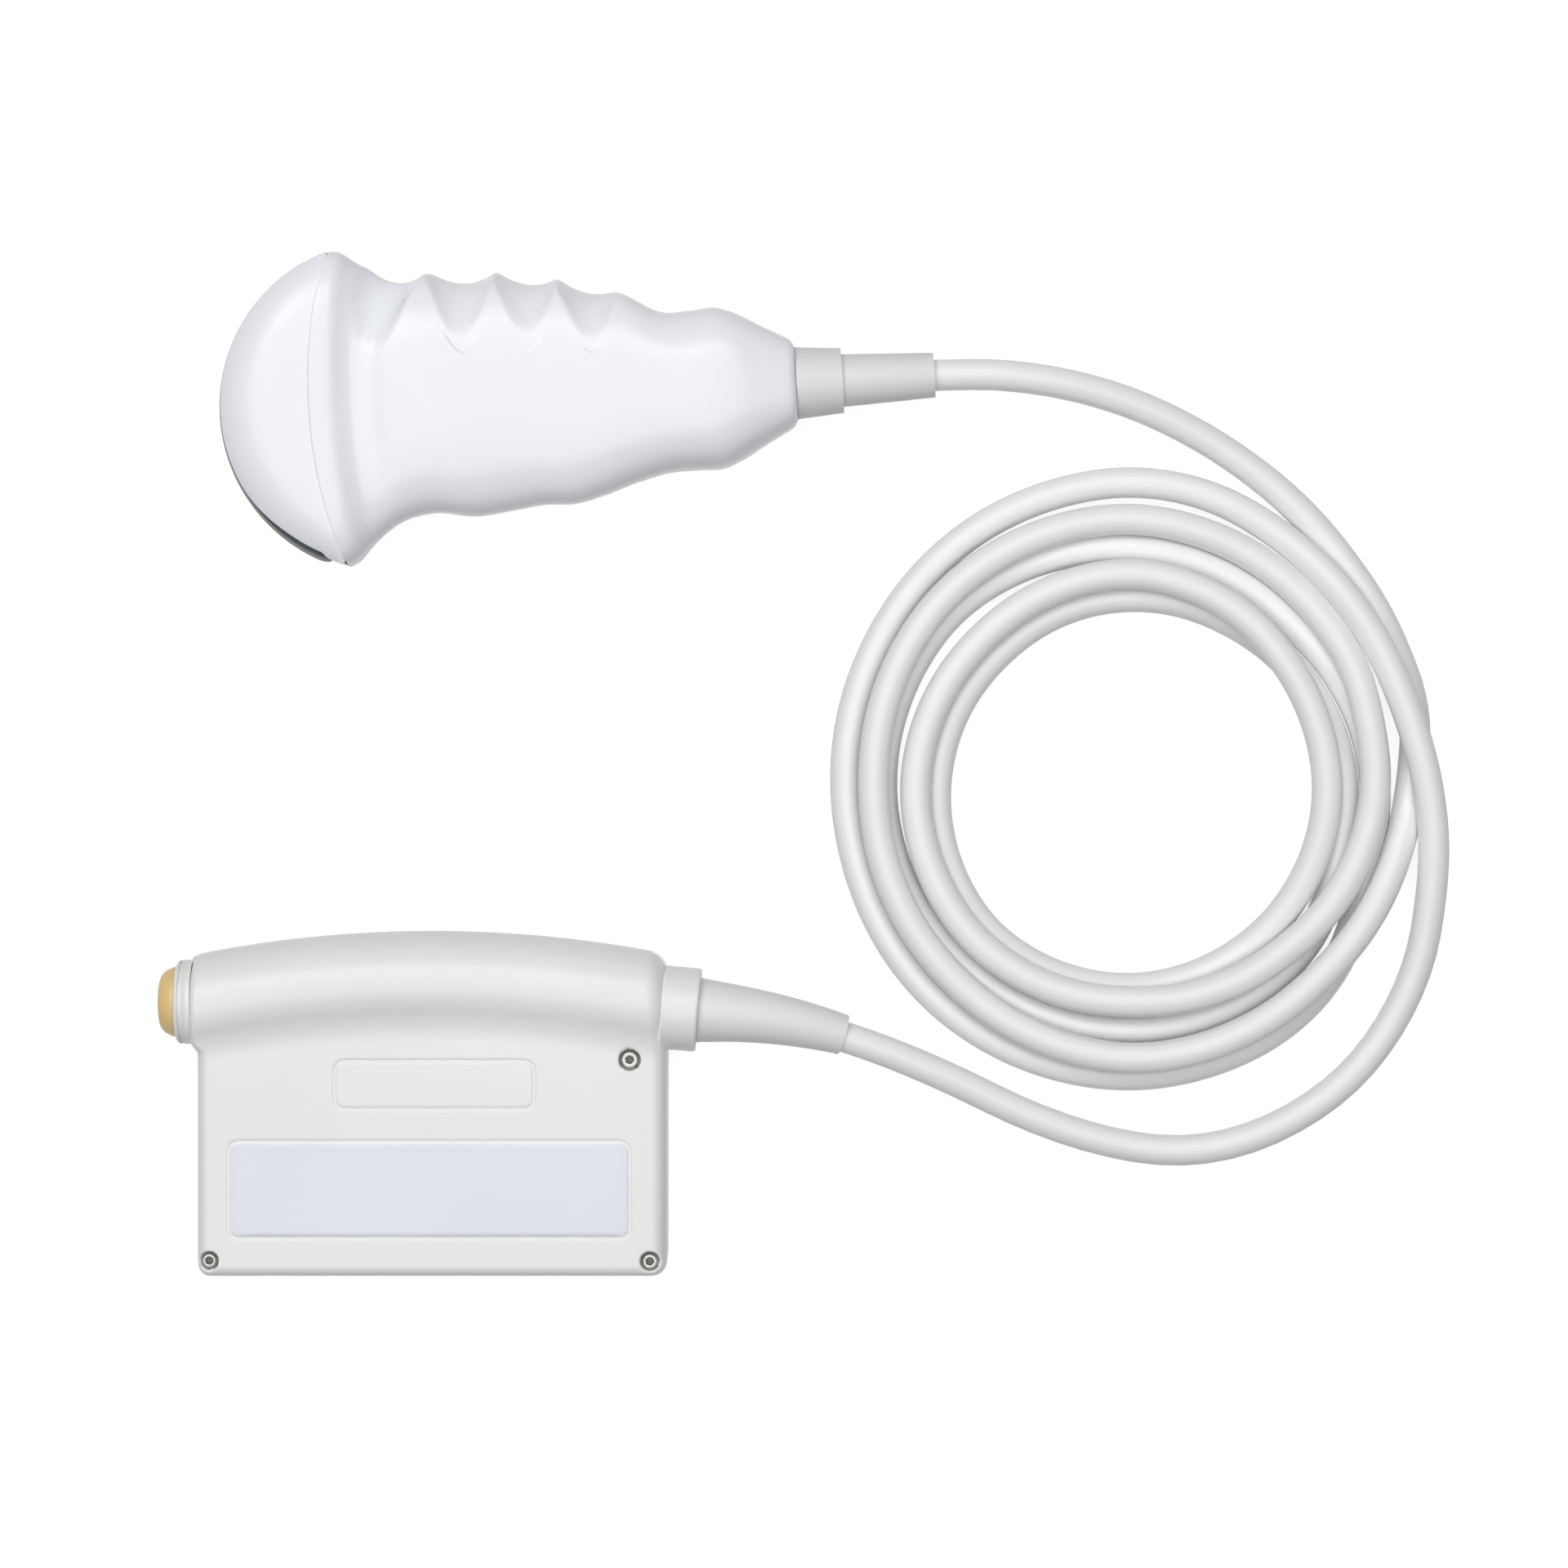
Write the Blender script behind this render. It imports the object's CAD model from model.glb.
"""Curved-array ultrasound probe on a white table, seen from above.

All pieces are in the frame of the solids, in metres: +Z up, +X along the probe.
Shapes are worked out in millimetres and scaled once, when their mesh is made.
"""

import bpy
import numpy as np
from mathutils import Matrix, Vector


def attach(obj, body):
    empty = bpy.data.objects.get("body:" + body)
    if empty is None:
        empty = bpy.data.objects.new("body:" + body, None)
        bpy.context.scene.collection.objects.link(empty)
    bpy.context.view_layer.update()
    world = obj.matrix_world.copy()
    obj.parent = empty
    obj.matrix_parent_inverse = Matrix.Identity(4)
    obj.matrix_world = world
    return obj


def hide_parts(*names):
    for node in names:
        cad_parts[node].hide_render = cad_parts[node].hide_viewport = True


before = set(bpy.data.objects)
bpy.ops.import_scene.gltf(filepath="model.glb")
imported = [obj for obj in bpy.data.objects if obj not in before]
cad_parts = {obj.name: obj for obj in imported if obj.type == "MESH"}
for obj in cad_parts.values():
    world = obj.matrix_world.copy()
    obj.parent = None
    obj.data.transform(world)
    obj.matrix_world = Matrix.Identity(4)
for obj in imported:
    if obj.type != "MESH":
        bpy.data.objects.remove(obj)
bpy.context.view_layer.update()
MM = 0.001

# Placement of the probe on the table
PROBE_AT = np.array([-29.0, 0.5, 14.2])
PROBE_TURN = np.radians(3.4)

# Nose, lens and seam
LENS_R = 40.0
LENS_SAG = 1.2
LENS_HALF = 7.5
LENS_SPAN = np.radians(67.0)
LENS_END = 0.09
LENS_SET_BACK = 0.1
LENS_LIP = 1.2
NOSE_HALF = 13.6
NOSE_FLAT_R = 16.0
LIP = 1.0
FACE_R = LENS_R - LENS_SAG
SEAM_R = 114.0
SEAM_U = -17.6
SEAM_GAP = -0.3
SEAM_STEP = 0.35
NOSE_SPAN = 1.268
# Stretch of the nose's rim that stands back so that the lens shows, in radians off the front
LENS_SHOWN = 0.8
SHOWN_FROM = 0.45
SHOWN_RUN = 0.5
SHOWN_END = 0.06
# Play of the lens window, its step, and the depth of its wall
WINDOW_PLAY = 0.12
WINDOW_STEP = 0.1
WINDOW_WALL = np.array([[0.15, 1.5]])
# Lip of the nose under the handle: distance from the seam and drop of its rows, and the least
# run of the nose's face
TUCK_RUN = np.array([[-1.2, 0.0, 0.02]])
TUCK_DROP = np.array([[0.4, 0.4, 0.12]])
FACE_LEAST = 0.3

# Cable
CABLE_D = 7.5
COIL_AT = np.array([149.9, -90.4])


def linear(code):
    """Linear colour of an sRGB hex code: ((c + 0.055) / 1.055) ** 2.4 above the toe."""
    parts = np.array([int(code[i : i + 2], 16) for i in (1, 3, 5)]) / 255
    curve = np.where(parts <= 0.04045, parts / 12.92, ((parts + 0.055) / 1.055) ** 2.4)
    return (*curve.tolist(), 1.0)


def node(tree, kind, links=None, **settings):
    """Add a node, set its fields and input values, and link its inputs to other nodes' outputs."""
    made = tree.nodes.new(kind)
    for name, value in settings.items():
        if hasattr(made, name):
            setattr(made, name, value)
        else:
            made.inputs[name.replace("_", " ")].default_value = value
    for name, (source, output) in (links or {}).items():
        tree.links.new(source.outputs[output], made.inputs[name])
    return made


def blank(name):
    """New material and its emptied node tree."""
    material = bpy.data.materials.new(name)
    material.use_nodes = True
    material.node_tree.nodes.clear()
    return material, material.node_tree


# Width of the slow drift in shade, and how far the grain moves the roughness
DRIFT_MM = 45.0
GRAIN_SPREAD = 0.03
# Tool marks on metal: spread of the roughness, strength of the bump, and scale along each axis
MARK_SPREAD = 0.08
MARK_RELIEF = 0.08
MARK_SCALE = (1.0, 1.0, 0.1)


def moulded(name, code, shade, roughness, grain_mm, relief, **gloss):
    """Plastic or rubber out of a textured mould.

    A slow drift between two close shades, fine grain in the roughness, and a bump whose
    cells are grain_mm wide.
    """
    material, tree = blank(name)
    place = node(tree, "ShaderNodeTexCoord")
    drift = node(
        tree,
        "ShaderNodeTexNoise",
        {"Vector": (place, "Object")},
        Scale=1 / (DRIFT_MM * MM),
        Detail=2.0,
    )
    tint = node(tree, "ShaderNodeValToRGB", {"Fac": (drift, "Fac")})
    tint.color_ramp.elements[0].position = 0.3
    tint.color_ramp.elements[0].color = linear(shade)
    tint.color_ramp.elements[1].position = 0.7
    tint.color_ramp.elements[1].color = linear(code)
    grain = node(
        tree,
        "ShaderNodeTexNoise",
        {"Vector": (place, "Object")},
        Scale=1 / (grain_mm * MM),
        Detail=3.0,
    )
    wear = node(
        tree,
        "ShaderNodeMapRange",
        {"Value": (grain, "Fac")},
        To_Min=roughness - GRAIN_SPREAD,
        To_Max=roughness + GRAIN_SPREAD,
    )
    bump = node(
        tree, "ShaderNodeBump", {"Height": (grain, "Fac")}, Strength=relief, Distance=grain_mm * MM
    )
    shader = node(
        tree,
        "ShaderNodeBsdfPrincipled",
        {
            "Base Color": (tint, "Color"),
            "Roughness": (wear, "Result"),
            "Normal": (bump, "Normal"),
        },
        **gloss,
    )
    node(tree, "ShaderNodeOutputMaterial", {"Surface": (shader, "BSDF")})
    return material


# Cool white ABS from a fine satin mould: even, with soft clear highlights on its edges
HANDLE_ABS = moulded("satin_white_abs", "#F1F3F8", "#EFF1F6", 0.25, 0.35, 0.03, IOR=1.53)
# Silicone lens: dark, soft, slightly dusty
LENS_SILICONE = moulded("lens_silicone", "#50565B", "#494F54", 0.42, 0.5, 0.08, IOR=1.41)
# Cable jacket: extruded soft PVC with a smooth skin
CABLE_PVC = moulded("extruded_white_pvc", "#F4F4F4", "#F0F0EF", 0.34, 0.6, 0.05, IOR=1.5)
# Boots: moulded elastomer, a little greyer and duller than the cable
BOOT_TPE = moulded("moulded_grey_tpe", "#E1E4E3", "#DBDEDD", 0.45, 0.5, 0.08, IOR=1.49)
GLAND_TPE = moulded("moulded_light_grey_tpe", "#E9EBEC", "#E4E6E7", 0.42, 0.5, 0.08, IOR=1.49)
# Connector and its bezel: warm white ABS from a spark-eroded mould, finely textured
CONNECTOR_ABS = moulded("textured_warm_white_abs", "#EEEFED", "#EAEBE9", 0.32, 0.4, 0.08, IOR=1.53)
# Release button: tan ABS, smoother on top
BUTTON_ABS = moulded("satin_tan_abs", "#EACB8E", "#E3C181", 0.36, 0.4, 0.06, IOR=1.53)
# Label: pale lavender polyester film, smooth and a little glossier
LABEL_FILM = moulded("printed_polyester_film", "#E2E5EE", "#DEE1EA", 0.3, 0.8, 0.03, IOR=1.6)
# Inside pieces, each with the look of its raw stock
EPOXY = moulded("filled_epoxy", "#7A746C", "#6E6860", 0.6, 0.4, 0.2, IOR=1.55)
PIEZO = moulded("sintered_piezo_ceramic", "#C7B894", "#BBAB86", 0.7, 0.3, 0.2, IOR=2.0)
BACKING = moulded("loaded_backing_rubber", "#3A3A3C", "#323234", 0.75, 0.4, 0.2, IOR=1.5)
POLYIMIDE = moulded("polyimide_flex_film", "#C67A2E", "#B96F27", 0.25, 0.8, 0.03, IOR=1.7)
LAMINATE = moulded("solder_masked_laminate", "#1F6B43", "#1B603C", 0.35, 0.9, 0.05, IOR=1.5)
CONTACT_LCP = moulded("black_contact_moulding", "#2A2A2C", "#242426", 0.5, 0.3, 0.1, IOR=1.6)
COAX = moulded("ribbon_coax_jacket", "#CFC9BA", "#C5BFB0", 0.45, 0.7, 0.3, IOR=1.45)


def metal(name, code, roughness, stretch_mm):
    """Turned or drawn metal: fine scratches, stretched along Z, in its roughness and bump."""
    material, tree = blank(name)
    place = node(tree, "ShaderNodeTexCoord")
    turn = node(tree, "ShaderNodeMapping", {"Vector": (place, "Object")}, Scale=MARK_SCALE)
    lines = node(
        tree,
        "ShaderNodeTexNoise",
        {"Vector": (turn, "Vector")},
        Scale=1 / (stretch_mm * MM),
        Detail=4.0,
    )
    wear = node(
        tree,
        "ShaderNodeMapRange",
        {"Value": (lines, "Fac")},
        To_Min=roughness - MARK_SPREAD,
        To_Max=roughness + MARK_SPREAD,
    )
    bump = node(
        tree,
        "ShaderNodeBump",
        {"Height": (lines, "Fac")},
        Strength=MARK_RELIEF,
        Distance=stretch_mm * MM,
    )
    shader = node(
        tree,
        "ShaderNodeBsdfPrincipled",
        {"Roughness": (wear, "Result"), "Normal": (bump, "Normal")},
        Base_Color=linear(code),
        Metallic=1.0,
    )
    node(tree, "ShaderNodeOutputMaterial", {"Surface": (shader, "BSDF")})
    return material


# Metals: plated screws and latch, turned brass inserts, milled clamps and shield
STEEL = metal("zinc_plated_steel", "#92928F", 0.3, 0.3)
BRASS = metal("turned_brass", "#D2B06A", 0.3, 0.3)
ALUMINIUM = metal("machined_aluminium", "#C9CBCC", 0.35, 0.4)

# Finish of each node of the frame
FINISHES = {
    HANDLE_ABS: ["handle_upper_shell", "handle_lower_shell", "nose_piece"],
    LENS_SILICONE: ["acoustic_lens"],
    EPOXY: ["matching_layer"],
    PIEZO: ["piezo_array"],
    BACKING: ["backing_block"],
    POLYIMIDE: ["flex_circuits"],
    LAMINATE: ["interconnect_board", "connector_board"],
    CONTACT_LCP: ["flex_connectors", "contact_block"],
    COAX: ["coax_bundle", "coax_fan"],
    ALUMINIUM: ["probe_cable_clamp", "connector_shield", "connector_cable_clamp"],
    BOOT_TPE: ["probe_strain_relief"],
    GLAND_TPE: ["connector_strain_relief"],
    CABLE_PVC: ["cable_probe_end", "cable_coil", "cable_connector_end"],
    CONNECTOR_ABS: ["connector_front_cover", "connector_rear_cover", "button_bezel"],
    BUTTON_ABS: ["release_button"],
    LABEL_FILM: ["rating_label"],
    STEEL: ["housing_screws", "button_spring", "latch_rod", "latch_lever", "latch_pin"],
    BRASS: ["threaded_inserts"],
}
for finish, names in FINISHES.items():
    for name in names:
        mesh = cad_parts[name].data
        mesh.materials.clear()
        mesh.materials.append(finish)


def surface(name, points, finish, inside_out=False, kept=None):
    """Mesh of a grid of points (rows, columns, 3) in millimetres: one quad per kept cell."""
    rows, columns = points.shape[:2]
    corner = np.arange(rows * columns).reshape(rows, columns)
    ring = [corner[:-1, :-1], corner[1:, :-1], corner[1:, 1:], corner[:-1, 1:]]
    if inside_out:
        ring.reverse()
    quads = np.stack(ring, axis=-1).reshape(-1, 4)
    if kept is not None:
        quads = quads[kept.ravel()]
    mesh = bpy.data.meshes.new(name)
    mesh.from_pydata((points.reshape(-1, 3) * MM).tolist(), [], quads.tolist())
    mesh.polygons.foreach_set("use_smooth", np.ones(len(quads), bool))
    mesh.materials.append(finish)
    piece = bpy.data.objects.new(name, mesh)
    bpy.context.scene.collection.objects.link(piece)
    return piece


def on_table(u, v, z):
    """Row position of probe coordinates: a turn about Z, then a shift."""
    c = np.cos(PROBE_TURN)
    s = np.sin(PROBE_TURN)
    return np.stack([u * c - v * s, u * s + v * c, z + 0 * u], axis=-1) + PROBE_AT


def eased(share):
    """Smooth step from 0 to 1: 3 t^2 - 2 t^3."""
    t = np.clip(share, 0, 1)
    return t * t * (3 - 2 * t)


def flowing(x, knots, values):
    """Cubic Hermite curve through the values, with the slopes of their central differences."""
    knots = np.asarray(knots, float)
    values = np.asarray(values, float)
    slopes = np.gradient(values, knots)
    i = np.clip(np.searchsorted(knots, x) - 1, 0, len(knots) - 2)
    step = knots[i + 1] - knots[i]
    t = np.clip((x - knots[i]) / step, 0, 1)
    rise = values[i + 1] - values[i]
    bend = (1 - t) * (slopes[i] * step - rise) - t * (slopes[i + 1] * step - rise)
    return values[i] + t * rise + t * (1 - t) * bend


# Outline of the handle: u, finger edge, thumb edge
OUTLINE = np.array(
    [
        (-20.0, 37.0, -37.4),
        (-13.0, 37.6, -37.7),
        (-9.0, 37.4, -36.4),
        (-4.5, 34.4, -32.0),
        (1.0, 32.0, -28.0),
        (9.0, 31.4, -25.9),
        (20.0, 31.3, -27.2),
        (29.0, 31.0, -26.3),
        (36.5, 30.2, -25.4),
        (43.5, 28.7, -25.6),
        (51.0, 26.3, -23.9),
        (58.0, 23.6, -21.6),
        (67.0, 18.7, -19.5),
        (74.0, 18.7, -19.3),
        (80.0, 19.0, -19.2),
        (84.0, 17.6, -17.6),
        (91.0, 13.7, -13.7),
        (98.0, 10.0, -10.0),
    ]
)
# Half thickness of the handle: u, half. A roll at the seam, a valley, the flat grip, the rear
THICKNESS = np.array(
    [
        (-20.0, 13.95),
        (-17.6, 14.1),
        (-15.2, 14.1),
        (-13.2, 13.9),
        (-11.4, 13.3),
        (-9.5, 12.2),
        (-7.6, 11.3),
        (-5.5, 10.95),
        (-3.0, 11.15),
        (0.5, 12.0),
        (4.0, 12.55),
        (36.0, 12.6),
        (58.0, 13.2),
        (67.0, 13.6),
        (80.0, 14.0),
        (84.0, 13.4),
        (91.0, 11.6),
        (98.0, 9.6),
    ]
)
GRIP_HALF = 12.6
REAR_U = 98.0
REAR_ROUND = 1.8
BOOT_SEAT = 6.4
# Half thickness and superellipse power of a section at the seam, the power's gain towards the
# grip, and where and over what length it gains
RIM_HALF = 14.1
RIM_POWER = 0.52
GRIP_GAIN = 0.2
GAIN_FROM = -15.0
GAIN_RUN = 18.0
# Length over which the sections straighten from the seam's arc
STRAIGHTENS = 30.0
# Turn-in at the seam: distance along the handle and inset of each row
SEAM_LIP = np.array([(0.0, 1.0), (0.0, 0.46), (0.12, 0.25), (0.32, 0.09), (0.6, 0.01), (0.85, 0.0)])
SEAM_LIP_RUN = 1.2
# Rows that close the rear towards the boot, as shares of the way
CLOSING = [0.3, 0.6, 0.9, 1.0]
# Parting of the two halves: depth of its lip, rounding, half gap and lowest edge
PART_LIP = 1.5
PART_ROUND = 0.18
PART_GAP = 0.04
PART_EDGE = 0.12
HANDLE_ROWS = 300
HANDLE_COLUMNS = 230
# Scallops: share of the quarter ellipse in their fall, onset of the line, width at the tip and
# at the edge, how fast they narrow, slope of a flank, its change across u, and the soft cut
SCALLOP_ROUND = 0.75
SCALLOP_ONSET = 0.2
TIP_WIDTH = 3.0
EDGE_WIDTH = 24.0
NARROWING = 0.86
FLANK = 2.4
FLANK_TURN = 4.0
SOFT_CUT = 0.38
HALVINGS = 26
# Each scallop: u and v at the edge, u and v at the tip on the face, and the slopes of its flanks
SCALLOPS = [
    (5.2, 29.5, -5.5, 2.0, 2.8, 12.0, 1.7),
    (20.8, 28.5, 19.6, 11.0),
    (37.4, 27.2, 35.2, 10.6),
    (52.6, 24.1, 50.2, 9.2),
]


def scallop_floor(
    u, z, edge_u, edge_v, tip_u, tip_v, front_edge=FLANK, front_tip=FLANK, back_tip=FLANK
):
    """Height v of a scallop's floor: between a quarter ellipse and a line from the edge to its
    tip on the face, and across u a wide arc at the edge that narrows to a V at the tip."""
    depth = np.clip(np.abs(z) / GRIP_HALF, 0, 1)
    line = np.sqrt(depth**2 + SCALLOP_ONSET**2) - SCALLOP_ONSET
    line = line / (np.sqrt(1 + SCALLOP_ONSET**2) - SCALLOP_ONSET)
    fall = SCALLOP_ROUND * (1 - np.sqrt(1 - depth**2)) + (1 - SCALLOP_ROUND) * line
    off = u - edge_u - (tip_u - edge_u) * depth
    spread = TIP_WIDTH + EDGE_WIDTH * (1 - depth) ** NARROWING
    front = front_edge + (front_tip - front_edge) * depth
    back = FLANK + (back_tip - FLANK) * depth
    steep = back + (front - back) * eased(0.5 - off / FLANK_TURN)
    return edge_v - (edge_v - tip_v) * fall + steep * (np.sqrt(off**2 + spread**2) - spread)


def handle_half(side):
    """One half shell: superellipse sections along u, cut by the scallops along the rays from
    each section's middle with a soft minimum, and turned in at the seam, the parting and the
    rear."""
    body = np.linspace(SEAM_LIP_RUN, REAR_U - REAR_ROUND - SEAM_U, HANDLE_ROWS)
    turn = np.linspace(0, np.pi / 2, 9)
    rear = REAR_U - SEAM_U - REAR_ROUND * (1 - np.sin(turn))
    last = 0 * np.array(CLOSING)
    along = np.concatenate([SEAM_LIP[:, 0], body, rear[1:], last + rear[-1]])[:, None]
    turned_in = REAR_ROUND * (1 - np.cos(turn))[1:]
    inset = np.concatenate([SEAM_LIP[:, 1], 0 * body, turned_in, last])[:, None]
    closing = np.concatenate([np.zeros(len(along) - len(CLOSING)), CLOSING])[:, None]
    angle = np.linspace(0, np.pi, HANDLE_COLUMNS)[None, :]
    c = np.cos(angle)
    s = np.sin(angle)
    fade = np.clip(1 - along / STRAIGHTENS, 0, 1) ** 2
    straight = SEAM_U + along + 0 * angle
    half = flowing(straight, THICKNESS[:, 0], THICKNESS[:, 1])
    # The seam's arc moves each section's points back, and u and v are settled in turns
    u = straight
    for _ in range(4):
        top, bottom = (flowing(u, OUTLINE[:, 0], OUTLINE[:, k]) for k in (1, 2))
        middle = (top + bottom) / 2
        power = RIM_POWER + GRIP_GAIN * eased((u - GAIN_FROM) / GAIN_RUN)
        v = (top - bottom) / 2 * np.sign(c) * np.abs(c) ** power
        u = straight + (SEAM_R - np.sqrt(SEAM_R**2 - (middle + v) ** 2)) * fade
    z = half * s**power
    reach = np.hypot(v, z)
    ray_v = v / reach
    ray_z = z / reach
    # Length of each ray to the scallops' floors, found by halving
    lengths = [reach]
    for across, scallop in zip([straight, u, u, u], SCALLOPS):
        low = 0 * reach
        high = 1.6 * reach
        for _ in range(HALVINGS):
            mid = (low + high) / 2
            outside = middle + mid * ray_v > scallop_floor(across, mid * ray_z, *scallop)
            high = np.where(outside, mid, high)
            low = np.where(outside, low, mid)
        lengths.append(high)
    cut = SOFT_CUT * np.log(sum(np.exp((reach - one) / SOFT_CUT) for one in lengths))
    reach = reach - cut - inset
    reach = reach + (BOOT_SEAT - reach) * closing
    middle = middle * (1 - closing)
    v = middle + reach * ray_v
    z = reach * ray_z
    # The parting edge: a narrow gap whose lips are rounded in
    lip = np.array([[PART_LIP, PART_ROUND]])
    gap = np.full((len(z), 2), PART_GAP)
    u = np.concatenate([u[:, :1] + 0 * lip, u, u[:, -1:] + 0 * lip], axis=1)
    v = np.concatenate([v[:, :1] - lip, v, v[:, -1:] + lip[:, ::-1]], axis=1)
    z = np.concatenate([gap, np.maximum(z, PART_EDGE), gap], axis=1)
    return on_table(u, v, side * z)


upper_shell = surface("handle_upper_moulding", handle_half(1), HANDLE_ABS)
lower_shell = surface("handle_lower_moulding", handle_half(-1), HANDLE_ABS, inside_out=True)
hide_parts("handle_upper_shell")
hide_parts("handle_lower_shell")


def seam_reach(angle, gap):
    """Distance from the array's centre to the seam's arc in a direction off the front: the ray
    meets a circle of radius SEAM_R + gap about a point behind the seam."""
    back = -(SEAM_U + SEAM_R) * np.cos(angle)
    return back + np.sqrt(back**2 + (SEAM_R + gap) ** 2 - (SEAM_U + SEAM_R) ** 2)


def nose_height(reach):
    """Half thickness of the nose at a radius: flat, then a power curve down to its rim."""
    x = np.clip((reach - NOSE_FLAT_R) / (FACE_R - NOSE_FLAT_R), 0, 1)
    return NOSE_HALF - (NOSE_HALF - LENS_HALF - LIP) * x**5


def shell_rim(u, v):
    """Half thickness of the handle's superellipse section at the seam."""
    top, bottom = (flowing(u, OUTLINE[:, 0], OUTLINE[:, k]) for k in (1, 2))
    share = np.clip(np.abs(v - (top + bottom) / 2) * 2 / (top - bottom), 0, 0.995)
    return RIM_HALF * (1 - share ** (2 / RIM_POWER)) ** (RIM_POWER / 2)


def lens_width(angle):
    """Half width of the lens window: constant, with rounded ends at LENS_SPAN."""
    end = np.clip((np.abs(angle) - LENS_SPAN + LENS_END) / LENS_END, 0, 1)
    return LENS_HALF * np.sqrt(np.maximum(1 - end**2, 0))


def nose_half(side):
    """One face of the nose over angle and radius: a lip under the seam, the face from the seam
    to the rim, the front edge down to the lens window, and the window's wall. The rim stands
    back by LENS_SHOWN towards one end, where the lens shows."""
    angle = np.linspace(-NOSE_SPAN, NOSE_SPAN, 260)[:, None]
    shown = eased((angle - SHOWN_FROM) / SHOWN_RUN) * eased((LENS_SPAN - angle) / SHOWN_END)
    edge = FACE_R - LENS_SHOWN * shown
    start = np.minimum(seam_reach(angle, SEAM_GAP), edge - FACE_LEAST)
    share = np.sin(np.linspace(0, np.pi / 2, 70))[None, :]
    reach = start + (edge - start) * share
    rim = shell_rim(-start * np.cos(angle), -start * np.sin(angle))
    height = nose_height(reach) + (rim - SEAM_STEP - nose_height(start)) * (1 - share) ** 2
    front = lens_width(angle) + WINDOW_PLAY
    down = np.linspace(0, 1, 8)[None, 1:]
    rim_z = height[:, -1:] + (front - height[:, -1:]) * down
    rim_r = edge + 0 * rim_z
    wall_r = edge - WINDOW_WALL
    wall_z = front - WINDOW_STEP + 0 * wall_r
    lip_r = start + TUCK_RUN
    lip_z = height[:, :1] - TUCK_DROP
    reach = np.concatenate([lip_r, reach[:, 1:], rim_r, wall_r], axis=1)
    height = np.concatenate([lip_z, height[:, 1:], rim_z, wall_z], axis=1)
    height = np.maximum(height, 0)
    return on_table(-reach * np.cos(angle), -reach * np.sin(angle), side * height)


def lens_skin():
    """The lens: an arc round the array, bulged across its width as 1 - t^2."""
    angle = np.linspace(-LENS_SPAN, LENS_SPAN, 240)[:, None]
    t = np.linspace(-1, 1, 25)[None, :]
    width = lens_width(angle)
    bulge = LENS_SAG * (1 - t**2) * (width / LENS_HALF)
    reach = FACE_R - LENS_SET_BACK + bulge
    reach = reach - LENS_LIP * (np.abs(t) > 0.99)
    return on_table(-reach * np.cos(angle), -reach * np.sin(angle), width * t)


nose_upper = surface("nose_upper_face", nose_half(1), HANDLE_ABS, inside_out=True)
nose_lower = surface("nose_lower_face", nose_half(-1), HANDLE_ABS)
lens = surface("lens_skin", lens_skin(), LENS_SILICONE)
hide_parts("nose_piece")
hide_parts("nose_piece")
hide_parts("acoustic_lens")

# Connector: the front cover's body, bowed bar, hollow blend and collar
PARTING_Z = 13.5
BODY_LEFT = -74.3
BODY_RIGHT = 38.0
BODY_BOTTOM = -207.2
BODY_T = 21.0
BODY_EDGE = 2.6
BODY_MID = (BODY_LEFT + BODY_RIGHT) / 2
DRAFT = 0.6
BAR_R = 12.0
BAR_CROWN = -136.6
BAR_BOW = 282.0
BAR_BLEND = 14.0
BAR_OVERHANG = 1.5
# Height y where the body's sides turn into the bar's ends, and the run of each change
SHOULDER_Y = -154.0
OVERHANG_RUN = 3.0
# Radii that round the ends of the body, what the bar's ends add, and the run of that change
LEFT_ROUND = (3.4, -1.1, 4.0)
RIGHT_ROUND = (3.8, 1.2, 8.0)
RIGHT_DRAFT = 0.3
FACE_TOP = -157.4
# Panel and label: left, right, bottom, top; the groove round each, and the film inside its groove
PANEL = (-40.9, 6.5, -166.7, -155.3)
LABEL = (-66.1, 29.2, -197.4, -174.5)
GROOVE_CORNER = 2.4
GROOVE_DEPTH = 0.4
GROOVE_WIDTH = 0.36
LABEL_MARGIN = 0.5
LABEL_CORNER = 1.9
# Screws: x, y and radius of each counterbore; the depth and edge of all, and the bands of points
# that move on to the rim, out of and into the bore, and to the floor's edge
SCREWS = [(29.2, -155.1, 2.65), (-70.7, -202.8, 2.3), (34.0, -203.0, 2.4)]
BORE_DEPTH = 2.6
BORE_EDGE = 0.12
RIM_IN = 0.2
RIM_OUT = 0.22
FLOOR_BAND = 0.55
FLOOR_PLAY = 0.06
# Screw heads: play in the bore, half width and turn of the socket, and depth below the face
HEAD_PLAY = 0.38
SOCKET_HALF = 0.85
SOCKET_TURN = 0.3
HEAD_SUNK = 0.45
# Openings of the mating edge: left, right, and share of the wall's height
CONTACT_OPENING = (-44.2, 30.2, 0.5)
LATCH_OPENING = (-61.1, -47.8, 0.3)
# Collar: radius, place and turn of its axis, radii at its mouth, edge radius, length over the bar,
# its crown, length at the side and where that begins, fillet, lift of the flare, and its root
COLLAR_R = 10.0
COLLAR_AT = np.array([45.5, -143.6, PARTING_Z])
COLLAR_TURN = np.radians(-5.0)
COLLAR_MOUTH = np.array([[7.9], [8.6]])
COLLAR_EDGE = 0.8
COLLAR_WALL = 8.1
COLLAR_CROWN = 0.6
COLLAR_SIDE = 7.7
COLLAR_SIDE_FROM = 1.75
COLLAR_FILLET = 2.0
COLLAR_LIFT = (0.15, 1.85)
COLLAR_ROOT = (0.6, 0.8)
# The bar's left end: where its tube begins, its set-back, edge radius and what the overhang adds
# to it, radius of its opening, and play over the solid
END_FROM = -72.0
END_SET_BACK = 0.1
END_EDGE = (1.4, 0.9)
END_OPENING = 8.5
END_PLAY = 0.03
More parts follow.
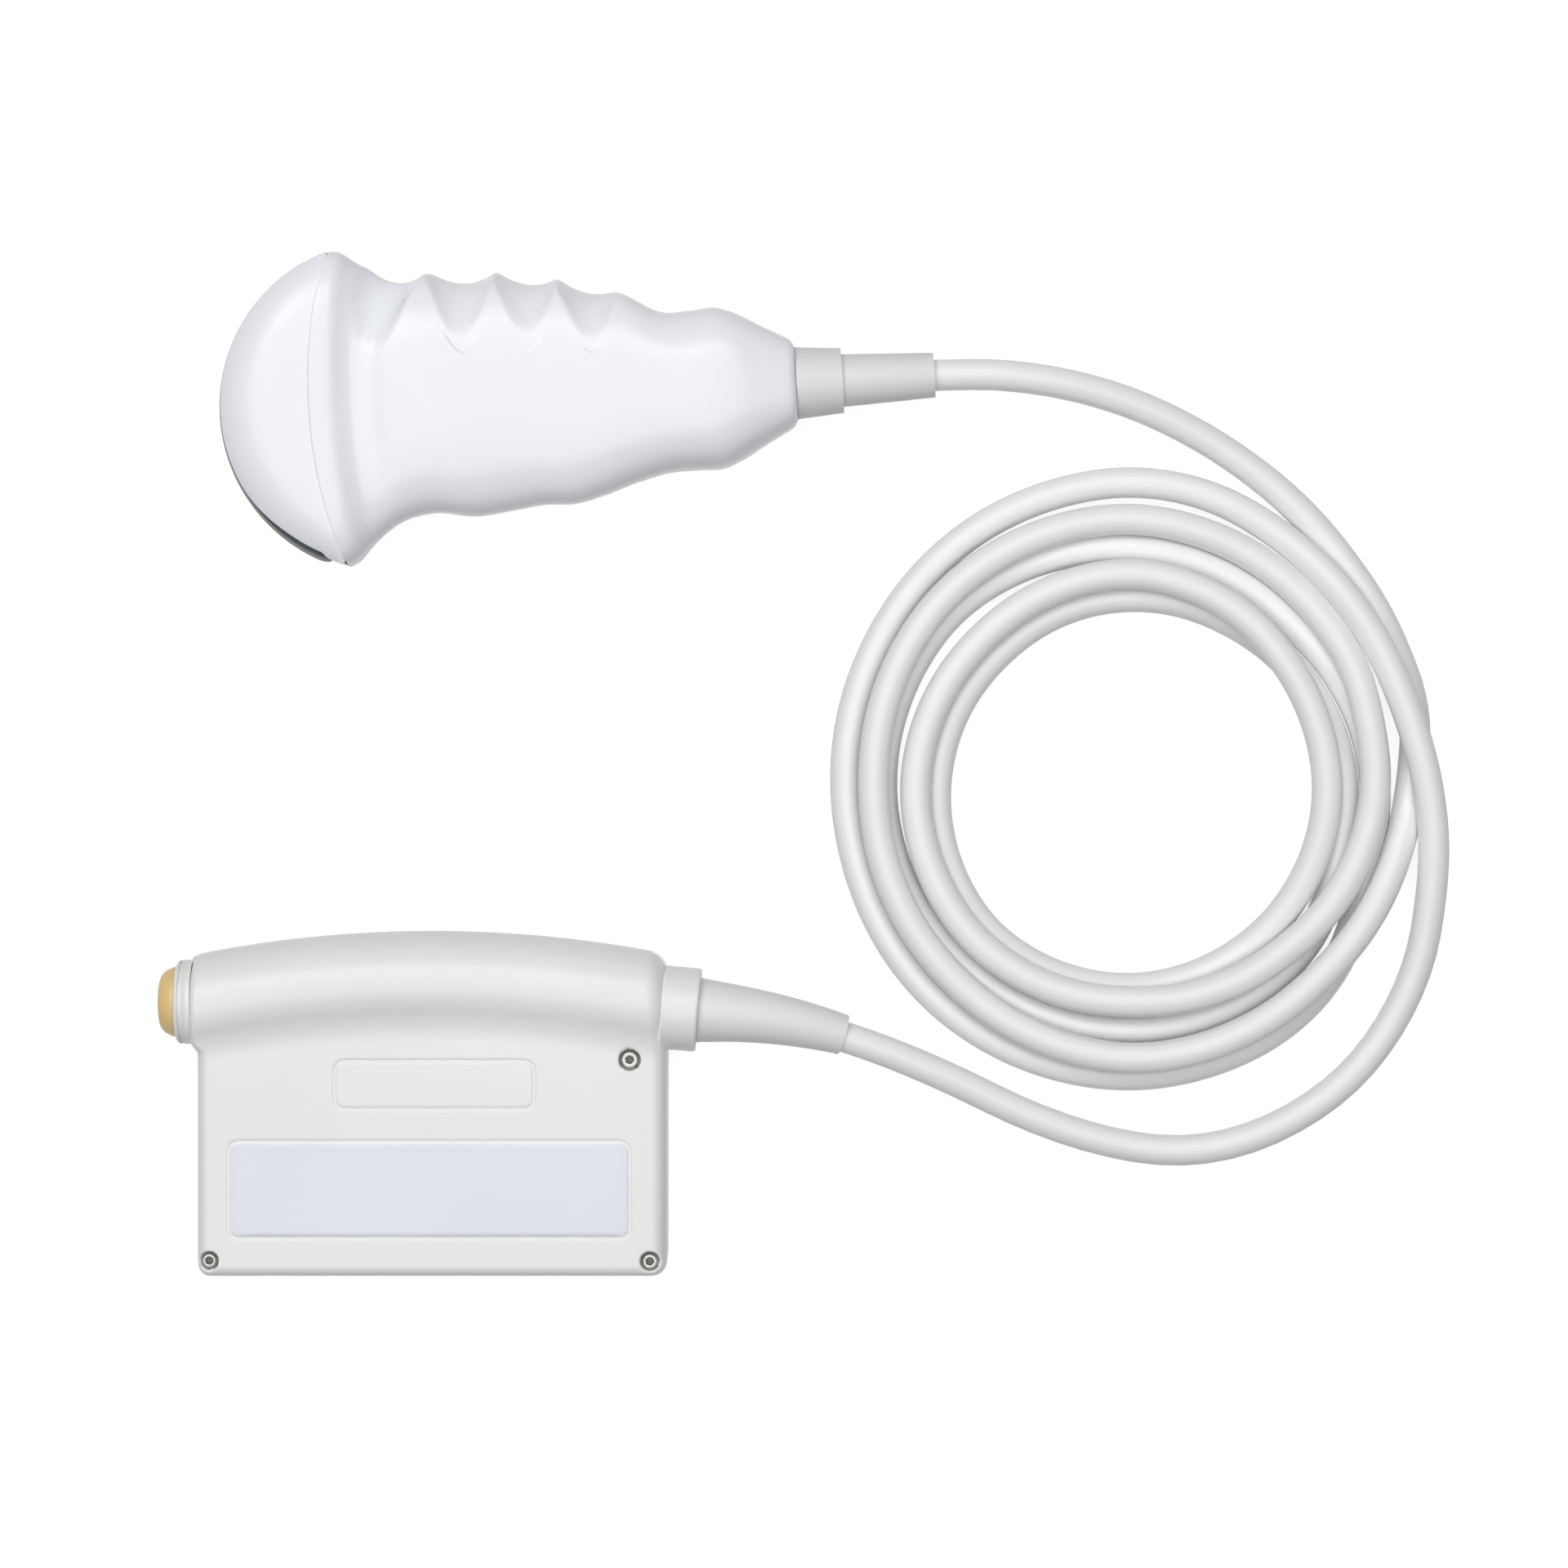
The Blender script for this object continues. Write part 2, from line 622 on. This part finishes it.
# Bezel and button, about one axis along x
BUTTON_Y = -141.6
BEZEL_FRONT = -79.2
BEZEL_R = 10.0
BEZEL_EDGE = 1.1
BUTTON_TIP = -83.4
BUTTON_DOME = 3.4
BUTTON_R = 8.35
ALONG_X = np.array([1.0, 0.0])
ALONG_Y = np.array([0.0, 1.0])


def bow(x):
    """Height y of the bar's bowed axis: a circle of radius BAR_BOW through its crown."""
    return BAR_CROWN - BAR_BOW + np.sqrt(BAR_BOW**2 - (x - BODY_MID) ** 2)


def off_frame(x, y, box, corner):
    """Signed distance from the outline of a rectangle with round corners."""
    reach_x = np.abs(x - (box[0] + box[1]) / 2) - (box[1] - box[0]) / 2 + corner
    reach_y = np.abs(y - (box[2] + box[3]) / 2) - (box[3] - box[2]) / 2 + corner
    outside = np.hypot(np.maximum(reach_x, 0), np.maximum(reach_y, 0))
    return outside + np.minimum(np.maximum(reach_x, reach_y), 0) - corner


def cover_front():
    """The front cover: one section across y, from the mating edge over the face, the hollow
    blend and the bar, carried along x. Its ends are rounded by an inset of the section, and
    grooves, drawn as bell curves about their lines, and counterbores are sunk in the face."""
    rise = BODY_T - PARTING_Z
    foot = np.sqrt((BAR_R + BAR_BLEND) ** 2 - (rise + BAR_BLEND) ** 2)
    lean = np.arctan2(rise + BAR_BLEND, foot)
    # Columns: each end's side wall and its rounding, and the run between them
    side = np.array([0, 0.33, 0.67])
    quarter = np.linspace(0, np.pi / 2, 12)
    middle = np.linspace(0, 1, 318)[1:-1]
    end = np.concatenate([0 * side, quarter])
    tau = np.concatenate([end, 0 * middle + np.pi / 2, end[::-1]])[None, :]
    run = np.concatenate([0 * end, middle, 0 * end + 1])[None, :]
    drop = np.concatenate([side, np.ones(run.size - 2 * len(side)), side[::-1]])[None, :]
    # Rows: the share of each run of the section
    wall = np.array([0.0, 2.2, 2.7, 3.6, 4.3]) / (rise - BODY_EDGE)
    arc = np.linspace(0, 1, 10)[:-1]
    flat = np.linspace(0, 1, 136)[:-1]
    strip = np.linspace(0, 1, 21)[:-1]
    cove = np.linspace(0, 1, 18)[:-1]
    over = np.linspace(0, 1, 46)
    rows = [wall, arc, flat, strip, cove, over]
    kind = np.concatenate([np.full(len(part), k) for k, part in enumerate(rows)])[:, None]
    share = np.concatenate(rows)[:, None]

    # The ends depend on y, and y on the ends' inset: they are settled in turns
    on_left = run < 0.5
    y = np.full((len(share), run.size), -170.0)
    for _ in range(6):
        past = y - SHOULDER_Y
        left = BODY_LEFT - BAR_OVERHANG * eased(past / OVERHANG_RUN)
        left_r, right_r = (
            plain + added * eased(past / length) for plain, added, length in (LEFT_ROUND, RIGHT_ROUND)
        )
        x = left + left_r + (BODY_RIGHT - right_r - left - left_r) * run
        round_r = np.where(on_left, left_r, right_r)
        x = x + np.where(on_left, -1, 1) * round_r * np.cos(tau)
        inset = round_r * (1 - np.sin(tau))
        axis = bow(x)
        edge = np.maximum(BODY_EDGE - inset, 0)
        turn = share * np.pi / 2
        low = BODY_BOTTOM + DRAFT + inset
        down = -np.pi / 2 + share * (np.pi / 2 - lean)
        up = (np.pi - lean) * (1 - share)
        y = np.choose(
            kind,
            [
                low - DRAFT * (1 - share),
                low + edge * (1 - np.cos(turn)),
                low + edge + (FACE_TOP - low - edge) * share,
                FACE_TOP + (axis - foot - FACE_TOP) * share,
                axis - foot + (BAR_BLEND + inset) * np.cos(down),
                axis + (BAR_R - inset) * np.cos(up),
            ],
        )
    z = np.choose(
        kind,
        [
            PARTING_Z + (rise - np.maximum(BODY_EDGE, inset)) * share,
            BODY_T - inset - edge * (1 - np.sin(turn)),
            BODY_T - inset + 0 * share,
            BODY_T - inset + 0 * share,
            BODY_T + BAR_BLEND + (BAR_BLEND + inset) * np.sin(down),
            PARTING_Z + (BAR_R - inset) * np.sin(up),
        ],
    )
    height = np.clip((z - PARTING_Z) / (rise - BODY_EDGE), 0, 1) * drop
    x = x + np.where(on_left, 1, -RIGHT_DRAFT) * DRAFT * height * np.cos(tau)
    z = PARTING_Z + (z - PARTING_Z) * drop
    # Grooves round the panel and the label
    for box in (PANEL, LABEL):
        off = off_frame(x, y, box, GROOVE_CORNER)
        z = z - GROOVE_DEPTH * np.exp(-((off / GROOVE_WIDTH) ** 2))
    # Counterbores: points near each rim move on to it, and those inside sink
    for screw_x, screw_y, bore in SCREWS:
        away = np.hypot(x - screw_x, y - screw_y)
        on_rim = (away > bore - RIM_IN) & (away < bore + RIM_OUT)
        inside = (away <= bore - RIM_IN) & (kind >= 1)
        pull = np.where(on_rim, bore / away, 1)
        pull = np.where(inside & (away > bore - FLOOR_BAND), (bore - FLOOR_PLAY) / away, pull)
        x = screw_x + (x - screw_x) * pull
        y = screw_y + (y - screw_y) * pull
        z = np.where(inside, BODY_T - BORE_DEPTH, z - BORE_EDGE * on_rim)
    # Openings of the mating edge, over the contacts and the latch
    centre = (x[:-1, :-1] + x[:-1, 1:]) / 2
    kept = np.ones(centre.shape, bool)
    for start, stop, top in (CONTACT_OPENING, LATCH_OPENING):
        kept &= ~((centre > start) & (centre < stop) & (kind[:-1] == 0) & (share[:-1] < top))
    return np.stack([x, y, z], axis=-1), kept


def round_about(axis_at, ahead, beside, along, radius, angle):
    """Surface about an axis: points at along and radius, turned by angle from beside to up."""
    across = radius * np.cos(angle)
    up = radius * np.sin(angle)
    flat = axis_at[:2] + along[..., None] * ahead + across[..., None] * beside
    return np.concatenate([flat, (axis_at[2] + up)[..., None]], axis=-1)


def collar_skin():
    """Upper half of the collar: its face, a rounded edge, the barrel, and a fillet into the
    body that is wider where the bar's shoulder falls away."""
    angle = np.linspace(0, np.pi, 90)[None, :]
    side = eased(angle - COLLAR_SIDE_FROM)
    wall = COLLAR_WALL + COLLAR_CROWN * np.sin(angle) + (COLLAR_SIDE - COLLAR_WALL) * side
    lift = COLLAR_LIFT[0] + COLLAR_LIFT[1] * side
    turn = np.linspace(0, np.pi / 2, 9)[:, None]
    share = np.linspace(0, 1, 30)[:, None]
    start = wall - COLLAR_FILLET
    barrel = COLLAR_EDGE + (start - COLLAR_EDGE) * np.array([[0.3], [0.6]])
    flare = np.concatenate([start + COLLAR_FILLET * share, wall + COLLAR_ROOT[0]], axis=0)
    back = np.concatenate([0 * COLLAR_MOUTH, COLLAR_EDGE * (1 - np.cos(turn))], axis=0)
    back = np.concatenate([back + 0 * angle, barrel, flare], axis=0)
    ring = np.concatenate([COLLAR_MOUTH, COLLAR_R - COLLAR_EDGE * (1 - np.sin(turn))], axis=0)
    bend = (1 - side) * share**2 + side * (1 - np.sqrt(np.maximum(1 - share**2, 0)))
    flared = np.concatenate([COLLAR_R + lift * bend, COLLAR_R + lift - COLLAR_ROOT[1]], axis=0)
    ring = np.concatenate([ring + 0 * angle, COLLAR_R + 0 * barrel, flared], axis=0)
    ahead = np.array([np.cos(COLLAR_TURN), np.sin(COLLAR_TURN)])
    beside = np.array([-ahead[1], ahead[0]])
    return round_about(COLLAR_AT, ahead, beside, -back, ring, angle + 0 * ring)


def turned(profile, at_y):
    """Surface of revolution about a line along x, from a profile of x and radius."""
    profile = np.asarray(profile)
    angle = np.linspace(0, 2 * np.pi, 121)[None, :]
    along = profile[:, :1] + 0 * angle
    radius = profile[:, 1:] + 0 * angle
    axis_at = np.array([0.0, at_y, PARTING_Z])
    return round_about(axis_at, ALONG_X, ALONG_Y, along, radius, angle + 0 * radius)


def bar_end_rim():
    """The bar's left end below the parting: its tube, a quarter round and its face, set back
    where it meets the body's side as the front cover is."""
    angle = np.linspace(np.pi, 2 * np.pi, 91)[None, :]
    turn = np.linspace(0, np.pi / 2, 10)[:, None]
    axis = bow(BODY_LEFT)
    clear = eased((axis + BAR_R * np.cos(angle) - SHOULDER_Y) / OVERHANG_RUN)
    end = BODY_LEFT + END_SET_BACK - (BAR_OVERHANG + END_SET_BACK) * clear
    edge = END_EDGE[0] + END_EDGE[1] * clear
    x = np.concatenate([END_FROM + 0 * end, end + edge * (1 - np.sin(turn)), end], axis=0)
    rounded = BAR_R - edge * (1 - np.cos(turn))
    radius = np.concatenate([BAR_R + 0 * end, rounded, END_OPENING + 0 * end], axis=0)
    axis_at = np.array([0.0, axis, PARTING_Z])
    return round_about(axis_at, ALONG_X, ALONG_Y, x, radius + END_PLAY, angle + 0 * x)


def bezel_profile():
    """The bezel: a base ring, a fine groove, and a ring with a rounded front edge."""
    turn = np.linspace(0, np.pi / 2, 10)
    x = BEZEL_FRONT + BEZEL_EDGE * (1 - np.sin(turn))
    radius = BEZEL_R - BEZEL_EDGE * (1 - np.cos(turn))
    front = np.stack([x, radius], axis=-1)
    back = [(-75.2, 10.1), (-77.1, 10.1), (-77.25, 9.85), (-77.4, BEZEL_R)]
    return np.concatenate([back, front[::-1], [(-79.1, 8.55), (-78.6, 8.45), (-75.2, 8.45)]])


def button_profile():
    """The button: a face that falls as the seventh power of the radius, and its barrel."""
    share = np.sin(np.linspace(0, np.pi / 2, 60))
    dome = np.stack([BUTTON_TIP + BUTTON_DOME * share**7, BUTTON_R * share], axis=-1)
    return np.concatenate([dome, [(-77.0, BUTTON_R), (-74.5, BUTTON_R)]])


def screw_head(screw_x, screw_y, bore):
    """Socket head: a pit with a hexagonal wall, a flat, a bevel and the head's side."""
    angle = np.linspace(0, 2 * np.pi, 73)[None, :]
    head = bore - HEAD_PLAY
    hexagon = SOCKET_HALF / np.cos((angle + SOCKET_TURN) % (np.pi / 3) - np.pi / 6)
    # Share of the hexagon, plain radius and height of each row
    rows = [
        (0.0, 0.0, -1.7),
        (0.98, 0.0, -1.2),
        (1.0, 0.0, -0.08),
        (1.08, 0.0, 0.0),
        (0.0, head - 0.6, 0.0),
        (0.0, head - 0.45, -0.06),
        (0.0, head - 0.1, -0.4),
        (0.0, head, -0.65),
        (0.0, head, -2.1),
    ]
    reach = np.concatenate([socket * hexagon + plain for socket, plain, _ in rows], axis=0)
    height = np.array([[z] for _, _, z in rows]) + 0 * reach
    x = screw_x + reach * np.cos(angle)
    y = screw_y + reach * np.sin(angle)
    return np.stack([x, y, BODY_T - HEAD_SUNK + height], axis=-1)


def label_face():
    """The label: its rounded outline shrunk towards its middle, with a thin edge."""
    # The turn begins beside the axis, where a sine of 0 would have no side
    turn = np.linspace(0.01, 2 * np.pi + 0.01, 241)[None, :]
    half = np.array([(LABEL[1] - LABEL[0]) / 2, (LABEL[3] - LABEL[2]) / 2]) - LABEL_MARGIN
    c = np.cos(turn)
    s = np.sin(turn)
    edge_x = np.sign(c) * (half[0] - LABEL_CORNER) + LABEL_CORNER * c
    edge_y = np.sign(s) * (half[1] - LABEL_CORNER) + LABEL_CORNER * s
    share = np.array([[0.0], [0.5], [0.9], [0.999], [1.0], [1.0]])
    height = np.array([[0.06], [0.06], [0.06], [0.06], [0.05], [-0.1]])
    x = (LABEL[0] + LABEL[1]) / 2 + share * edge_x
    y = (LABEL[2] + LABEL[3]) / 2 + share * edge_y
    return np.stack([x, y, BODY_T + height + 0 * x], axis=-1)


points, cells = cover_front()
cover = surface("connector_front_skin", points, CONNECTOR_ABS, inside_out=True, kept=cells)
collar = surface("connector_collar", collar_skin(), CONNECTOR_ABS)
bezel = surface("bezel_ring", turned(bezel_profile(), BUTTON_Y), CONNECTOR_ABS)
bar_end = surface("bar_end_rim", bar_end_rim(), CONNECTOR_ABS)
button = surface("button_dome", turned(button_profile(), BUTTON_Y), BUTTON_ABS)
label = surface("label_film", label_face(), LABEL_FILM)
screws = [surface(f"screw_head_{i}", screw_head(*at), STEEL) for i, at in enumerate(SCREWS)]
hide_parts("connector_front_cover")
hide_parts("connector_front_cover")
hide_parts("button_bezel")
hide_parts("release_button")
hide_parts("rating_label")
for screw in screws:
    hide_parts("housing_screws")

# The cable: control points of its two leads, and the turns of the loose coil
PROBE_LEAD = [
    (0.05086, 0.00524, 0.0142),
    (0.1040, 0.0089, 0.0142),
    (0.1270, 0.0079, 0.0132),
    (0.1494, 0.0026, 0.0093),
    (0.1710, -0.0078, 0.0052),
    (0.1904, -0.0226, 0.00395),
    (0.2049, -0.0408, 0.00375),
]
CONNECTOR_LEAD = [
    (0.2186, -0.1387, 0.00435),
    (0.2002, -0.1651, 0.00375),
    (0.1682, -0.1800, 0.00375),
    (0.1340, -0.1744, 0.00425),
    (0.0963, -0.1553, 0.0100),
    (0.06582, -0.14538, 0.0135),
    (0.02358, -0.14168, 0.0135),
]
# Each turn: direction in degrees, radius in millimetres, layer above the table
TURNS = [
    [(-330, 71.6, 0), (-345, 70.8, 0)],
    [
        (0, 67.0, 0),
        (-8, 66.2, 0.3),
        (-15, 65.2, 0.65),
        (-23, 64.6, 0.87),
        (-30, 64.1, 1),
        (-45, 63.4, 1),
        (-90, 65.0, 1),
        (-135, 62.9, 0.9),
        (-180, 62.4, 1),
        (-225, 64.6, 0.9),
        (-270, 64.7, 0.5),
        (-300, 62.5, 0.45),
        (-315, 61.3, 0.6),
        (-330, 60.3, 0.9),
        (-345, 58.2, 1),
    ],
    [
        (0, 57.9, 1),
        (-15, 56.5, 1),
        (-30, 55.1, 1),
        (-45, 53.2, 1),
        (-90, 51.2, 1),
        (-135, 52.7, 0.9),
        (-180, 52.4, 0.75),
        (-225, 51.0, 0.72),
        (-270, 51.4, 0.75),
        (-300, 49.1, 0.95),
        (-315, 47.5, 1),
        (-330, 46.6, 0.96),
        (-345, 46.3, 0.9),
    ],
    [
        (0, 46.4, 0.9),
        (-15, 46.5, 0.75),
        (-30, 46.7, 0.53),
        (-45, 47.1, 0.3),
        (-60, 47.5, 0),
        (-90, 48.4, 0),
        (-135, 49.2, 0),
        (-180, 47.3, 0),
        (-225, 45.7, 0),
        (-270, 46.1, 0),
        (-300, 46.5, 0),
        (-315, 47.5, 0),
        (-330, 48.8, 0),
        (-345, 50.0, 0),
    ],
    [
        (0, 51.2, 0),
        (-15, 51.6, 0),
        (-30, 54.6, 0),
        (-45, 57.0, 0),
        (-60, 57.6, 0),
        (-90, 58.2, 0),
        (-135, 59.2, 0),
        (-180, 60.4, 0),
        (-225, 60.9, 0),
        (-270, 57.6, 0),
        (-300, 55.7, 0),
        (-315, 55.1, 0),
        (-330, 56.6, 0),
        (-345, 57.8, 0),
    ],
    [
        (0, 58.8, 0),
        (-15, 59.2, 0),
        (-23, 60.5, 0),
        (-30, 62.5, 0),
        (-45, 66.4, 0),
        (-60, 68.2, 0),
        (-90, 69.5, 0),
        (-135, 69.5, 0),
        (-165, 68.8, 0),
        (-180, 69.1, 0),
        (-210, 70.5, 0),
        (-225, 71.7, 0),
        (-240, 72.7, 0),
        (-270, 73.9, 0),
        (-285, 72.9, 0.1),
        (-300, 70.3, 0.3),
        (-315, 68.6, 0.8),
        (-330, 67.6, 0.95),
        (-345, 67.7, 1),
    ],
    [(0, 70.3, 1), (-8, 72.3, 1), (-15, 74.5, 0.8)],
]


def coil_points(step=15.0):
    """Points round the coil at equal steps: radius and layer run straight between the values
    of TURNS, and the radius is raised by what a quadratic spline cuts off each step."""
    wound = np.array(
        [
            (360 * (turn - 1) - angle, radius, layer)
            for turn, row in enumerate(TURNS)
            for angle, radius, layer in row
        ]
    )
    travel = np.arange(wound[0, 0], wound[-1, 0] + 0.1, step)
    radius = np.interp(travel, wound[:, 0], wound[:, 1])
    layer = np.interp(travel, wound[:, 0], wound[:, 2])
    radius = radius / (0.75 + 0.25 * np.cos(np.radians(step)))
    x = COIL_AT[0] + radius * np.cos(np.radians(-travel))
    y = COIL_AT[1] + radius * np.sin(np.radians(-travel))
    z = CABLE_D * (0.5 + layer)
    return np.stack([x, y, z], axis=-1) * MM


def lay_cable():
    """The cable: one NURBS line through the leads and the coil, with a round section."""
    route = np.concatenate([PROBE_LEAD, coil_points(), CONNECTOR_LEAD])
    curve = bpy.data.curves.new("probe_cable", "CURVE")
    curve.dimensions = "3D"
    line = curve.splines.new("NURBS")
    line.points.add(len(route) - 1)
    line.points.foreach_set("co", np.c_[route, np.ones(len(route))].ravel())
    line.order_u = 3
    line.use_endpoint_u = True
    line.resolution_u = 6
    line.use_smooth = True
    curve.bevel_depth = CABLE_D / 2 * MM
    curve.bevel_resolution = 6
    curve.use_fill_caps = True
    curve.materials.append(CABLE_PVC)
    cable = bpy.data.objects.new("probe_cable", curve)
    bpy.context.scene.collection.objects.link(cable)
    return cable


cable = lay_cable()
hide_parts("cable_probe_end", "cable_coil", "cable_connector_end")

SLOTS = {
    "handle_plastic": [upper_shell, lower_shell, nose_upper, nose_lower],
    "lens_silicone": [lens],
    "cable_jacket": [cable],
    "connector_plastic": [cover, collar, bezel, bar_end],
    "button_plastic": [button],
    "label_film": [label],
    "plated_steel": screws,
}
for slot, pieces in SLOTS.items():
    for piece in pieces:
        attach(piece, "button" if piece == button else "probe")


def seen_only(tree, strength, rest):
    """Strength for camera, glossy and transmission rays, and rest for the light on the object."""
    path = node(tree, "ShaderNodeLightPath")
    rays = [(path, f"Is {kind} Ray") for kind in ("Camera", "Glossy", "Transmission")]
    total = node(tree, "ShaderNodeMath", {0: rays[0], 1: rays[1]}, operation="ADD")
    total = node(tree, "ShaderNodeMath", {0: (total, 0), 1: rays[2]}, operation="ADD")
    return node(tree, "ShaderNodeMapRange", {"Value": (total, 0)}, To_Min=rest, To_Max=strength)


# White table: a matt grey that takes the shadows, with a glow that lifts it to white where seen
TABLE_HALF = 3000.0
TABLE_GLOW = 0.84
paint, tree = blank("white_table")
light = node(tree, "ShaderNodeEmission", {"Strength": (seen_only(tree, TABLE_GLOW, 0.0), 0)})
matt = node(tree, "ShaderNodeBsdfDiffuse", Color=linear("#A6A6A6"))
both = node(tree, "ShaderNodeAddShader", {0: (light, 0), 1: (matt, 0)})
node(tree, "ShaderNodeOutputMaterial", {"Surface": (both, 0)})
corners = [[(x, y, 0.0) for x in (-TABLE_HALF, TABLE_HALF)] for y in (-TABLE_HALF, TABLE_HALF)]
table = surface("table", np.array(corners), paint, inside_out=True)


def softbox(name, at, aim, size, depth, power):
    """Rectangular area lamp at a point, turned to face another."""
    lamp = bpy.data.lights.new(name, "AREA")
    lamp.shape = "RECTANGLE"
    lamp.size = size
    lamp.size_y = depth
    lamp.energy = power
    holder = bpy.data.objects.new(name, lamp)
    holder.location = at
    holder.rotation_euler = (Vector(aim) - Vector(at)).to_track_quat("-Z", "Y").to_euler()
    bpy.context.scene.collection.objects.link(holder)


# Lamps in metres and watts: a broad one overhead, a small key and a strip for the highlights
softbox("top_softbox", (-0.05, 0.1, 1.5), (0.0, 0.0, 0.0), 1.8, 1.8, 20.6)
softbox("key_softbox", (-0.55, 0.6, 0.9), (0.06, -0.06, 0.0), 0.35, 0.35, 1.3)
softbox("strip_softbox", (-0.1, 0.58, 1.2), (0.0, -0.08, 0.0), 1.4, 0.14, 2.0)

# White sky for what is seen, and a weak fill for the object
SKY_FILL = 0.1
world = bpy.data.worlds.new("studio")
world.use_nodes = True
sky = world.node_tree
sky.nodes["Background"].inputs["Color"].default_value = (1, 1, 1, 1)
sky.links.new(seen_only(sky, 1.0, SKY_FILL).outputs[0], sky.nodes["Background"].inputs["Strength"])
bpy.context.scene.world = world
bpy.context.scene.view_settings.view_transform = "Standard"

# Camera straight above the middle of the layout
VIEW_W = 0.375
CAMERA_UP = 1.05
SENSOR_MM = 36.0
camera = bpy.data.cameras.new("camera")
camera.sensor_width = SENSOR_MM
camera.lens = SENSOR_MM * CAMERA_UP / VIEW_W
eye = bpy.data.objects.new("camera", camera)
eye.location = (0.0659, -0.0895, CAMERA_UP + 0.014)
bpy.context.scene.collection.objects.link(eye)
bpy.context.scene.camera = eye
